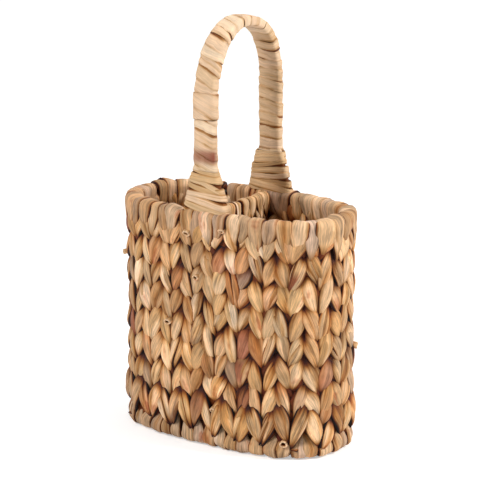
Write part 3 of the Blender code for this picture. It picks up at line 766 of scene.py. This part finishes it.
for number in range(1, WALL_PLAITS + 1):
    rng = np.random.default_rng(WALL_SEED + number)
    middle = (number - 0.5) * wall_pitch
    sways = np.random.default_rng(SWAY_SEED + number).normal(0, PLAIT_SWAY, len(SWAY_HEIGHTS))

    def on_plait(points):
        """Across the plait, which sways a little on its way up, outwards and up, as places on the wall."""
        along, outwards, height = np.moveaxis(points, -1, 0)
        along = along + middle + np.interp(height, SWAY_HEIGHTS, sways)
        return on_wall(np.stack((along, outwards, height), axis=-1))

    work = Leafwork()
    # The core strands' fronts are darkened to WALL_CORE_FRONT_LIGHT as painted shade.
    plait(
        rng, work, on_plait, WALL_STRAND_START, WALL_STRAND_STOP, WALL_CORE_WIDTH * wall_pitch,
        WALL_CORE_DEPTH, WALL_ROW, middle=WALL_CORE_MIDDLE, end_sink=WALL_CORE_END_SINK,
        front_light=WALL_CORE_FRONT_LIGHT,
    )
    if number in FEET:
        feet = [np.array(heights) / 1000 for heights in FEET[number]]
    else:
        feet = [
            FIRST_FOOT + later + WALL_ROW * np.arange(WALL_ROWS) + rng.normal(0, FOOT_SPREAD, WALL_ROWS)
            for later in rng.uniform(0.0, FIRST_FOOT_LATER, 2)
        ]
    for row, half in [(row, half) for row in range(WALL_ROWS) for half in (0, 1)]:
        side = 2 * half - 1
        if row >= len(feet[half]):
            continue
        low = feet[half][row]
        spacing = (feet[half][row + 2] - low) / 2 if row < len(feet[half]) - 2 else WALL_ROW
        length = rng.normal(*BLADE_ROWS) * np.clip(spacing, LEAST_FOOT_SPACING, MOST_FOOT_SPACING)
        high = min(low + length, WALL_BLADES_TO)
        tones = pick_tones(rng, LEAF_TONES, LEAF_SHARES, 2) * rng.uniform(*BLADE_BRIGHTNESS)
        for accent_height, accent_side, accent_tone in ACCENTS.get(number, ()):
            if accent_side == side and abs((low + high) / 2 - accent_height) < ACCENT_REACH:
                tones[0] = accent_tone
                tones[1] += ACCENT_TURNED_SHARE * (accent_tone - tones[1])
        out = BLADE_FOOT_OUT + LOW_BLADE_OUT * smooth((LOW_BLADE_TO - low) / LOW_BLADE_REACH)
        place = (rng.normal(0, BLADE_FOOT_SPREAD) + side * BLADE_FOOT_ASIDE, out, low)
        half_width = BLADE_WIDTH * wall_pitch / 2 * rng.normal(1.0, BLADE_WIDTH_SPREAD)
        half_width *= min(1.0, (high - low) / BLADE_FULL_WIDTH_LENGTH) ** SHORT_BLADE_TAPER
        reach = rng.normal(*BLADE_REACH) * wall_pitch / 2
        blade(rng, work, on_plait, place, side, high - low, half_width, BLADE_THICKNESS, reach, tones)
        if rng.uniform() < SECOND_LEAF_SHARE:
            shift = rng.choice(SECOND_LEAF_SHIFTS) * half_width
            place = (place[0] + shift, out + SECOND_LEAF_OUT, low + rng.uniform(*SECOND_LEAF_LATER))
            slim = rng.uniform(*SECOND_LEAF_WIDTHS) * half_width
            length = (high - low) * rng.uniform(*SECOND_LEAF_LENGTHS)
            blade(rng, work, on_plait, place, side, length, slim, SECOND_LEAF_THICKNESS, reach, tones[::-1])
    for half in range(FOLDS_PER_PLAIT):
        side, tone = fold_place(rng, half, RIM_FOLD_SPREAD)
        wide = rng.uniform(0.0, 1.0)
        fold(
            rng, work, on_plait, side, RIM_FOLD_LINE, RIM_FOLD_HALF_WIDTH + RIM_FOLD_WIDER * wide,
            RIM_WIDTHS, tone, lift=RIM_FOLD_LIFT + RIM_FOLD_HIGHER * wide,
            tip=(rng.normal(0, RIM_FOLD_TIP_SPREAD), (0.5 - half) * rng.uniform(*RIM_FOLD_SLANTS)),
            tail=rng.uniform(0.0, RIM_FOLD_TAIL_MOST),
        )
        side, tone = fold_place(rng, half, BASE_FOLD_SPREAD)
        fold(
            rng, work, on_plait, side, BASE_FOLD_LINE, rng.uniform(*BASE_FOLD_HALF_WIDTHS), BASE_WIDTHS,
            tone, lift=rng.uniform(*BASE_FOLD_LIFTS),
            tip=(rng.normal(0, BASE_FOLD_FOOT_SPREAD), rng.normal(0, BASE_FOLD_TIP_SPREAD)),
        )
    for side, height in CUT_ENDS.get(number, ()):
        radius = rng.uniform(*CUT_END_RADIUS)
        cut_end(rng, work, on_plait, side, height, radius, CUT_END_LENGTH, rng.uniform(*CUT_END_LEANS))
    flat_leaf(
        rng, work, on_plait, np.arange(WALL_STRAND_START, WALL_STRAND_STOP, LEAF_STEP), WALL_CORE_MIDDLE,
        wall_pitch / 2 + LINING_OVERLAP, LINING_HALF_THICKNESS, depth=LINING_CREASE_DEPTH,
        share=LINING_LIGHT, around=STRAND_AROUND,
    )
    # The leaf under the rim folds, in a tone darkened as painted shade.
    fold(
        rng, work, on_plait, 0.0, rim_under_line, RIM_UNDER_WIDTH * wall_pitch, RIM_WIDTHS, rim_under_painted_shade_tone,
        sway=0.0,
    )
    wall_piece = work.piece(f"wall_leaf_{number:02d}", leaf)
    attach(wall_piece, "root")
    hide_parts(f"wall_plait_{number:02d}")

# Divider. Four short plaits hang side by side over the rod between the two compartments, down to the floor.
# Their tops fold over the rod like the rim, and only that pale edge shows from outside.
DIVIDER_PLAITS = 4
DIVIDER_ROW = 0.0230
DIVIDER_SEED = 500
DIVIDER_FOOT_GAP = 0.003
DIVIDER_TOP_GAP = 0.006
DIVIDER_END_SINK = 0.5
DIVIDER_FOLD_WIDTH = 0.55
DIVIDER_TIP_SPREAD = 0.0010
DIVIDER_FOLD_LINE = (
    (-0.0020, 0.1860),
    (-0.0026, 0.1960),
    (-0.0028, 0.2040),
    (-0.0022, 0.2060),
    (0.0000, 0.2064),
    (0.0022, 0.2060),
    (0.0028, 0.2040),
    (0.0026, 0.1960),
    (0.0020, 0.1860),
)
for number in range(1, DIVIDER_PLAITS + 1):
    low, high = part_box(f"divider_plait_{number}")
    rng = np.random.default_rng(DIVIDER_SEED + number)
    middle_y = (low.y + high.y) / 2

    def on_divider(points):
        """Across the plait, towards the right compartment and up, as places on the divider."""
        across, right, up = np.moveaxis(points, -1, 0)
        return np.stack((right, middle_y - across, up), axis=-1)

    work = Leafwork()
    half_width = (high.y - low.y) / 2
    plait(
        rng, work, on_divider, low.z + DIVIDER_FOOT_GAP, high.z - DIVIDER_TOP_GAP, half_width,
        (high.x - low.x) / 2, DIVIDER_ROW, end_sink=DIVIDER_END_SINK,
    )
    for half in (-0.5, 0.5):
        fold(
            rng, work, on_divider, half * half_width, DIVIDER_FOLD_LINE, DIVIDER_FOLD_WIDTH * half_width,
            RIM_WIDTHS, STRAW, tip=tuple(rng.normal(0, DIVIDER_TIP_SPREAD, 2)),
        )
    divider_piece = work.piece(f"divider_leaf_{number}", leaf)
    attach(divider_piece, "root")
    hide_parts(f"divider_plait_{number}")

# Handle. A flat strip of pale leaf is wound round the two handle wires, each turn lapping over the one
# below. The foot turns spread over the splayed wires and bind the handle to the rim. A wider band lies
# over the winding where the near leg turns into the arch.
HANDLE_START = 0.2038
ARCH_SPRING = 0.3007
ARCH_RISE = 0.0640
ARCH_FRONT_SQUARENESS = 2.0
ARCH_BACK_SQUARENESS = 2.3
ARCH_STEPS = 400
HANDLE_WIRE_OFFSET = 0.0050
FOOT_OFFSET = 0.0180
FOOT_HEIGHT = 0.0440
FOOT_FLARE = 0.85
STRIP_BED_ACROSS = 0.0040
STRIP_BED = 0.0029
STRIP_THICKNESS = 0.0010
STRIP_TUCKED = 0.0014
STRIP_PROUD = 0.0020
STRIP_LAP_SHARE = 0.18
STRIP_TURN_LENGTH = 0.05
STRIP_POINTS_PER_LOOP = 44
STRIP_POINTS_ACROSS = 12
STRIP_CROWDING = 0.8
STRIP_FIBRE_STRETCH = 1.2
STRIP_EDGE_SPREAD = 0.26
STRIP_EDGE_WAVE = 0.006
STRIP_EDGE_DRIFT = 0.0004
STRIP_DROOP_SHARE = 0.6
STRIP_STEP_MOST = 1.6
STRIP_STEP_TAPER = 1.5
STRIP_LIFT_WAVE = 0.02
STRIP_LIFT_SHARE = 0.35
STRIP_WAVE = 0.008
STRIP_DRIFT = 0.0002
STRIP_ROUNDNESS = 8
STRIP_RIPPLES = 5
RIPPLE_PLACES = (0.05, 0.85)
RIPPLE_WAVE = 0.03
RIPPLE_WANDER = 0.12
RIPPLE_STRENGTH_DRIFT = 0.6
RIPPLE_STRENGTH_LESS = 0.1
RIPPLE_DEPTH = 0.0005
RIPPLE_WIDTH = 0.06
RIPPLE_SHADE = 0.20
STRIP_EDGE_SHADE = 0.16
STRIP_EDGE_REACH = 0.06
STRIP_SHARES = (0.45, 0.35, 0.2)
STRIP_TONE_PLACE = 0.1
STRIP_TONE_CHANGE = 0.2
BLOTCH_LIGHT = 1.2
BLOTCH_DRIFT = 0.30
BLOTCH_TURN_SHARE = 0.20
SEAM_SHADES = (0.05, 0.75)
SEAM_WAVE = 0.010
SEAM_DRIFT = 0.30
SEAM_SHADE_MOST = 0.85
SEAM_FROM = 0.74
SEAM_REACH = 0.12
PADDING_RINGS = 60
PADDING_AROUND = 48
PADDING_LIGHT = 0.25
HANDLE_SQUARENESS = 5.0
WINDING_START = 0.0040
WINDING_FOOT = 0.0400
FOOT_LOOPS = 7
HANDLE_LOOPS = 29
LAST_LOOP_LEFT = 0.02
BAND_FROM = 0.0842
BAND_TO = 0.1062
BAND_LOOPS = 0.98
BAND_PROUD = 0.0007
STAIN_PLACE = 0.0525
STAIN_SPREAD = 0.0062
STAIN_SHARPNESS = 4
STAIN_AT_SIDES = 0.6
STAIN_TURN = 1.5
CREAM = screen(246, 216, 182)
PEACH = screen(240, 204, 168)
BISCUIT = screen(230, 194, 154)
HAY = screen(236, 198, 152)
DRY_HAY = screen(220, 180, 132)
STAIN_RED = screen(146, 74, 52)
HANDLE_TONES = (CREAM, PEACH, BISCUIT)
FOOT_TONES = (HAY, PEACH, DRY_HAY)
BAND_TONES = (PEACH, PEACH, PEACH)

quarter = np.linspace(0, np.pi / 2, ARCH_STEPS)
front_y = -OUTLINE_HALF_WIDTH * np.cos(quarter) ** (2 / ARCH_FRONT_SQUARENESS)
front_z = ARCH_SPRING + ARCH_RISE * np.sin(quarter) ** (2 / ARCH_FRONT_SQUARENESS)
back_y = OUTLINE_HALF_WIDTH * np.cos(quarter[-2::-1]) ** (2 / ARCH_BACK_SQUARENESS)
back_z = ARCH_SPRING + ARCH_RISE * np.sin(quarter[-2::-1]) ** (2 / ARCH_BACK_SQUARENESS)
handle_y = np.concatenate(([-OUTLINE_HALF_WIDTH], front_y, back_y, [OUTLINE_HALF_WIDTH]))
handle_z = np.concatenate(([HANDLE_START], front_z, back_z, [HANDLE_START]))
handle_along = np.concatenate(([0.0], np.cumsum(np.hypot(np.diff(handle_y), np.diff(handle_z)))))
handle_length = handle_along[-1]
section_angle = np.linspace(0, 2 * np.pi, ARCH_STEPS)
section_x = signed_power(np.cos(section_angle), 2 / HANDLE_SQUARENESS)
section_x *= HANDLE_WIRE_OFFSET + STRIP_BED_ACROSS
section_y = STRIP_BED * signed_power(np.sin(section_angle), 2 / HANDLE_SQUARENESS)
section_along = np.concatenate(([0.0], np.cumsum(np.hypot(np.diff(section_x), np.diff(section_y)))))


def on_handle(along, angle, out):
    """Places at a distance along the handle, at an angle round it and so far out of the strip's bed."""
    y, z = (np.interp(along, handle_along, column) for column in (handle_y, handle_z))
    reach = STRIP_THICKNESS * 2
    ahead_y, behind_y = (np.interp(along + step, handle_along, handle_y) for step in (reach, -reach))
    ahead_z, behind_z = (np.interp(along + step, handle_along, handle_z) for step in (reach, -reach))
    size = np.hypot(ahead_y - behind_y, ahead_z - behind_z)
    out_y, out_z = -(ahead_z - behind_z) / size, (ahead_y - behind_y) / size
    from_foot = np.minimum(along, handle_length - along)
    splay = np.clip(1 - from_foot / FOOT_HEIGHT, 0.0, 1.0) ** FOOT_FLARE
    wire_offset = HANDLE_WIRE_OFFSET + (FOOT_OFFSET - HANDLE_WIRE_OFFSET) * splay
    across = signed_power(np.cos(angle), 2 / HANDLE_SQUARENESS) * (wire_offset + STRIP_BED_ACROSS + out)
    through = signed_power(np.sin(angle), 2 / HANDLE_SQUARENESS) * (STRIP_BED + out)
    return np.stack((across, y + out_y * through, z + out_z * through), axis=-1)


def wound_strip(rng, work, first_place, last_place, loops, tones, tilt, wander, proud=0.0):
    """One unbroken strip from place to place along the handle, with so many turns, lapped upwards."""
    around = np.linspace(0, section_along[-1], PADDING_AROUND + 1)[:-1]
    around = np.interp(around, section_along, section_angle)
    # A padding of leaf under the strip, darkened to PADDING_LIGHT as painted shade where it shows between
    # the turns.
    padding = np.linspace(first_place, last_place, PADDING_RINGS)[:, None] + 0 * around
    grain = np.stack((padding, 0 * padding, 0 * padding), axis=-1)
    work.add(on_handle(padding, around, 0 * padding), np.array(DRY_HAY), grain, PADDING_LIGHT + 0 * padding)
    turns = np.linspace(-1, loops, int((loops + 1) * STRIP_POINTS_PER_LOOP) + 1)
    angle = np.interp(turns % 1 * section_along[-1], section_along, section_angle)
    length = turns * STRIP_TURN_LENGTH
    count = int(loops) + 3
    edges = np.linspace(first_place, last_place, int(loops) + 2)
    pitch = edges[1] - edges[0]
    edges[1:-1] += rng.uniform(-STRIP_EDGE_SPREAD, STRIP_EDGE_SPREAD, len(edges) - 2) * pitch
    edges = np.concatenate(([first_place - pitch], edges, [last_place + pitch, last_place + 2 * pitch]))
    tilts = np.interp(turns + 1, np.arange(count), rng.normal(tilt, wander, count))
    droops = np.interp(turns + 1, np.arange(count), rng.normal(0, STRIP_DROOP_SHARE * wander, count))
    shift = -tilts * signed_power(np.cos(angle), 2 / HANDLE_SQUARENESS) - droops * np.sin(angle)
    low = np.interp(turns + 1, np.arange(len(edges)), edges) + shift
    low += drift(rng, length, STRIP_EDGE_WAVE, STRIP_EDGE_DRIFT)
    high = np.interp(turns + 2 + STRIP_LAP_SHARE, np.arange(len(edges)), edges) + shift
    across = np.linspace(0, 1, STRIP_POINTS_ACROSS) ** STRIP_CROWDING
    step = np.interp(turns + 1, np.arange(count), rng.uniform(0.0, STRIP_STEP_MOST, count))[:, None]
    rise = proud + STRIP_TUCKED
    rise = rise + (STRIP_PROUD - STRIP_TUCKED) * step * (1 - across) ** STRIP_STEP_TAPER
    lift = drift(rng, length, STRIP_LIFT_WAVE, STRIP_LIFT_SHARE * wander)
    rise += lift[:, None] ** 2 / STRIP_THICKNESS
    rounding = 1 - np.sqrt(np.clip(1 - (2 * across - 1) ** STRIP_ROUNDNESS, 0, 1))
    rounding *= STRIP_THICKNESS * 0.5
    outer = rise - rounding + drift(rng, length, STRIP_WAVE, STRIP_DRIFT)[:, None]
    hollow = np.zeros((len(turns), STRIP_POINTS_ACROSS))
    for ripple in range(STRIP_RIPPLES):
        line = rng.uniform(*RIPPLE_PLACES) + drift(rng, length, RIPPLE_WAVE, RIPPLE_WANDER)
        strength = drift(rng, length, STRIP_LIFT_WAVE, RIPPLE_STRENGTH_DRIFT) - RIPPLE_STRENGTH_LESS
        strength = np.clip(strength, 0, 1)[:, None]
        hollow += strength * np.exp(-np.abs(across - line[:, None]) / RIPPLE_WIDTH)
    hollow = np.clip(hollow, 0, 1)
    outer -= RIPPLE_DEPTH * hollow
    inner = rise - STRIP_THICKNESS + rounding
    place = np.clip(low[:, None] + (high - low)[:, None] * across, first_place, last_place)
    place = np.concatenate((place, place[:, ::-1]), axis=1)
    angle = angle[:, None] + 0 * place
    rings = on_handle(place, angle, np.concatenate((outer, inner[:, ::-1]), axis=1))
    tones = pick_tones(rng, tones, STRIP_SHARES, count)
    tones = tones_along(tones, turns - STRIP_TONE_PLACE, STRIP_TONE_CHANGE)
    blotch = np.clip(BLOTCH_LIGHT + drift(rng, length, STRIP_WAVE, BLOTCH_DRIFT), 0, 1)[:, None]
    blotch = blotch * (1 - BLOTCH_TURN_SHARE + BLOTCH_TURN_SHARE * np.cos(angle))
    stain = np.exp(-(((place - STAIN_PLACE) / STAIN_SPREAD) ** STAIN_SHARPNESS))
    stain *= smooth(STAIN_AT_SIDES + STAIN_TURN * np.sin(angle))
    stain = (stain * blotch)[..., None]
    tones = tones * (1 - stain) + np.array(STAIN_RED) * stain
    # Painted shade: each turn is darker just under the lower edge of the turn above, which laps over it, and
    # along its own lower edge and in its ripples.
    seam = np.interp(turns + 1, np.arange(count), rng.uniform(*SEAM_SHADES, count))
    seam += drift(rng, length, SEAM_WAVE, SEAM_DRIFT)
    seam = np.clip(seam, SEAM_SHADES[0], SEAM_SHADE_MOST)[:, None]
    depth = np.concatenate((across, across[::-1]))
    light = 1 - seam * smooth((depth - SEAM_FROM) / SEAM_REACH)
    light *= 1 - STRIP_EDGE_SHADE * smooth((STRIP_EDGE_REACH - depth) / STRIP_EDGE_REACH)
    light *= 1 - RIPPLE_SHADE * np.concatenate((hollow, hollow[:, ::-1]), axis=1)
    run = (length * FIBRE_RUN_SHARE * STRIP_FIBRE_STRETCH)[:, None] + 0 * place
    grain = np.stack((place - low[:, None], 0 * place, run + rng.uniform(0, FIBRE_PLACES)), axis=-1)
    work.add(rings, tones, grain, light)


strip_leaf = make_leaf_finish(
    "handle_strip", roughness=0.58, contrast=0.5, stain_colour=(0.62, 0.34, 0.26, 1.0), stain_from=0.66
)
winding_end = handle_length - WINDING_FOOT
winding_stop = handle_length - WINDING_START
windings = (
    ("foot_winding_front", WINDING_START, WINDING_FOOT, FOOT_LOOPS, FOOT_TONES, 0.0010, 0.0017, 61),
    ("handle_winding", WINDING_FOOT, winding_end, HANDLE_LOOPS, HANDLE_TONES, 0.0014, 0.0011, 62),
    ("foot_winding_back", winding_end, winding_stop, FOOT_LOOPS, FOOT_TONES, 0.0008, 0.0018, 63),
)
for name, first_place, last_place, loops, tones, tilt, wander, seed in windings:
    rng = np.random.default_rng(seed)
    work = Leafwork()
    wound_strip(rng, work, first_place, last_place, loops - LAST_LOOP_LEFT, tones, tilt, wander)
    if name == "handle_winding":
        wound_strip(
            rng, work, BAND_FROM, BAND_TO, BAND_LOOPS, BAND_TONES, tilt=0.0004, wander=0.0002,
            proud=BAND_PROUD,
        )
    strip_piece = work.piece(name.replace("winding", "strip"), strip_leaf)
    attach(strip_piece, "root")
    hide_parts(name)

# Studio. A plain white floor and background that keep the basket's shadow, a lamp from the right, one
# from the front on the left, a weak one from above, and the photograph's camera.
FLOOR_SIZE = 6.0
FLOOR_WHITE = (0.94, 0.94, 0.94, 1.0)
NEAR_GLOW = 0.44
FAR_GLOW = 0.78
NEAR_GLOW_TO = 0.3
FAR_GLOW_FROM = 1.8
SKY_STRENGTH = 0.19
VIEW_AZIMUTH = 34.84
VIEW_ELEVATION = 14.61
VIEW_DISTANCE = 2.0984
VIEW_RISE = 0.1671
VIEW_SIDE = 0.0008
VIEW_LENS = 177.8
LAMPS = (
    ("lamp_right", (1.42, 0.50, 1.10), 0.5, 22.0),
    ("lamp_left", (-0.30, -1.60, 1.50), 0.6, 23.5),
    ("lamp_top", (0.00, 0.20, 1.80), 0.9, 5.5),
)
AIM = Vector((0.0, 0.0, 0.16))


def blank_start(holder):
    """A start for the nodes of a material or a world, emptied first."""
    holder.use_nodes = True
    holder.node_tree.nodes.clear()
    return Finish(holder.node_tree)


def shown(start):
    """1 for the rays that show the studio as it looks, 0 for those that light the basket."""
    rays = ("Is Camera Ray", "Is Glossy Ray", "Is Transmission Ray")
    seen, mirrored, passed = (start.node("ShaderNodeLightPath", output=ray) for ray in rays)
    return seen + mirrored + passed


floor_finish = bpy.data.materials.new("studio_floor")
start = blank_start(floor_finish)
matt = start.node("ShaderNodeBsdfDiffuse", None, {"Color": FLOOR_WHITE})
place = start.node("ShaderNodeTexCoord", output="Object")
away = start.node("ShaderNodeVectorMath", {"operation": "LENGTH"}, {0: place}, output="Value")
far = start.node(
    "ShaderNodeMapRange", None, {"Value": away, "From Min": NEAR_GLOW_TO, "From Max": FAR_GLOW_FROM}
)
strength = shown(start) * (NEAR_GLOW + far * (FAR_GLOW - NEAR_GLOW))
glow = start.node("ShaderNodeEmission", None, {"Strength": strength})
mixed = start.node("ShaderNodeAddShader", None, {0: matt, 1: glow})
mixed.to(floor_finish.node_tree.nodes.new("ShaderNodeOutputMaterial").inputs["Surface"])
bpy.ops.mesh.primitive_plane_add(size=FLOOR_SIZE, location=(0, 0, 0))
studio_floor = bpy.context.object
studio_floor.name = "studio_floor"
studio_floor.data.materials.append(floor_finish)

world = bpy.data.worlds.new("studio")
bpy.context.scene.world = world
start = blank_start(world)
strength = SKY_STRENGTH + shown(start) * (1 - SKY_STRENGTH)
sky = start.node("ShaderNodeBackground", None, {"Color": (1.0, 1.0, 1.0, 1.0), "Strength": strength})
sky.to(world.node_tree.nodes.new("ShaderNodeOutputWorld").inputs["Surface"])

for name, place, size, power in LAMPS:
    lamp = bpy.data.lights.new(name, "AREA")
    lamp.shape = "DISK"
    lamp.size = size
    lamp.energy = power
    holder = bpy.data.objects.new(name, lamp)
    holder.location = place
    holder.rotation_euler = (Vector(place) - AIM).to_track_quat("Z", "Y").to_euler()
    bpy.context.scene.collection.objects.link(holder)

turned = Euler((math.radians(90 - VIEW_ELEVATION), 0.0, math.radians(VIEW_AZIMUTH)))
axes = turned.to_matrix()
lens = bpy.data.cameras.new("camera")
lens.lens = VIEW_LENS
lens.sensor_width = 36.0
camera = bpy.data.objects.new("camera", lens)
camera.location = axes @ Vector((VIEW_SIDE, VIEW_RISE, VIEW_DISTANCE))
camera.rotation_euler = turned
bpy.context.scene.collection.objects.link(camera)
bpy.context.scene.camera = camera

bpy.context.scene.view_settings.view_transform = "Standard"
